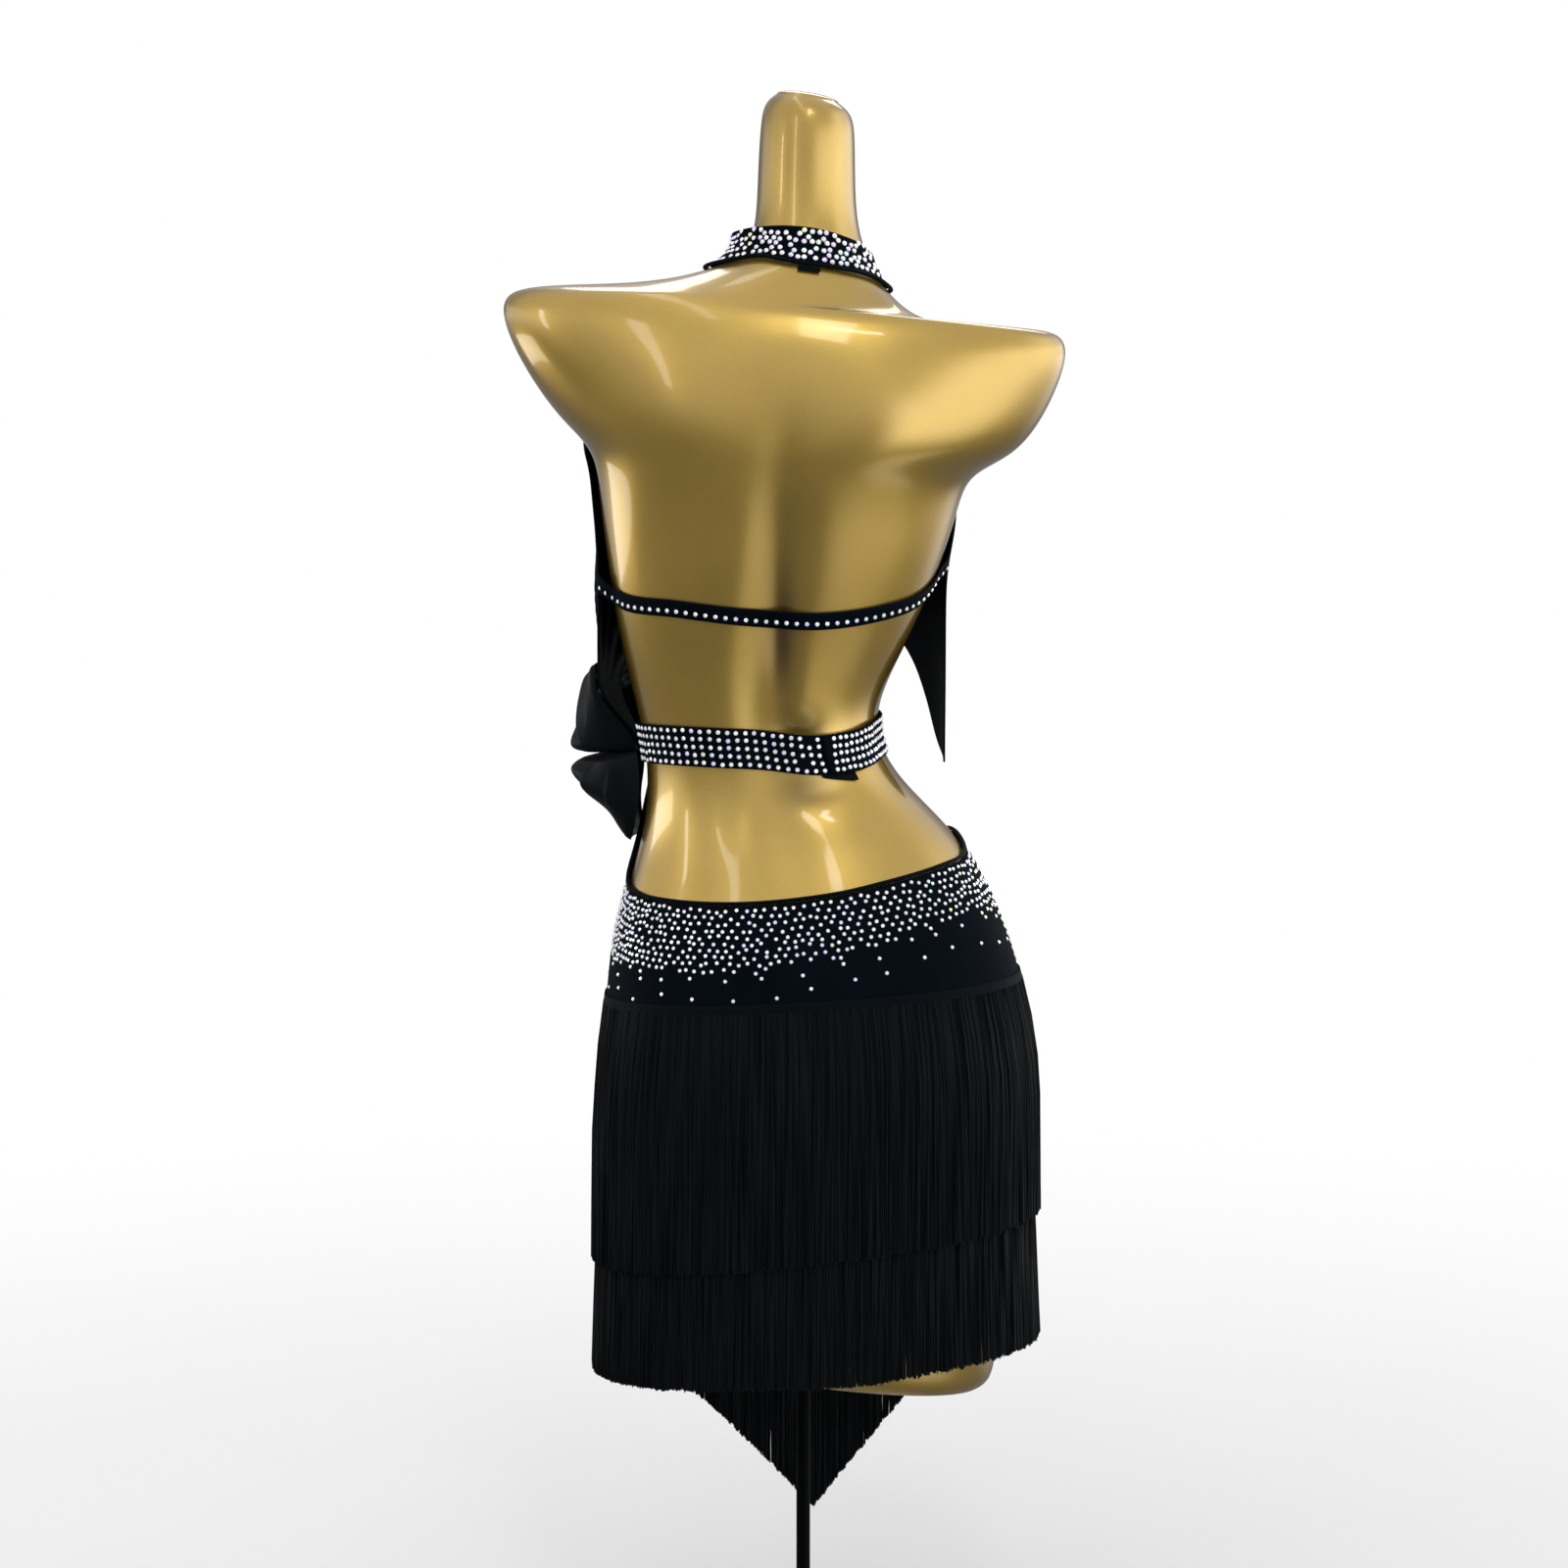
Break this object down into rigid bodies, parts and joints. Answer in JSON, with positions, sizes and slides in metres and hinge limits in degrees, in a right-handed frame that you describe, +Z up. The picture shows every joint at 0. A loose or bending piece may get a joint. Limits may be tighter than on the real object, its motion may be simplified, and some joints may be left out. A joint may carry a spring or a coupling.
{
  "type": "salsa dance dress on a dress form",
  "caption": "Backless halter salsa dress with crystal yoke, waist belt, side knot and two tiers of fringe, worn by a limbless dress form on a slim rod with a clear round base.",
  "frame": {"origin": "middle of the stand's underside, on the surface it stands on", "axes": "+Z up; the wearer's front faces -Y and the wearer's left side is +X"},
  "size_m": [0.4337, 0.2821, 1.2256],
  "materials": {
    "form": "glossy gold pearl lacquer on a hollow plastic form",
    "stand": "clear cast acrylic, polished",
    "rod": "black lacquered steel",
    "stretch_cloth": "matt black stretch jersey",
    "crystal_cloth": "black stretch jersey set with small glued crystals",
    "satin": "black satin with a grey sheen",
    "fringe": "black chainette fringe"
  },
  "bodies": {
    "root": {"form_torso": "form", "stand_base": "stand", "stand_pole": "rod", "collar": "crystal_cloth", "collar_binding": "stretch_cloth", "collar_tab": "stretch_cloth", "bodice_front": "stretch_cloth", "strap_back": "stretch_cloth", "belt": "crystal_cloth", "belt_tongue": "stretch_cloth", "side_knot_upper": "satin", "side_knot_lower": "satin", "yoke_back": "crystal_cloth", "yoke_front": "crystal_cloth", "yoke_binding": "stretch_cloth", "underskirt_back": "stretch_cloth", "underskirt_front": "stretch_cloth", "fringe_upper_back": "fringe", "fringe_upper_front": "fringe", "fringe_lower_back": "fringe", "fringe_lower_front": "fringe"}
  },
  "joints": []
}
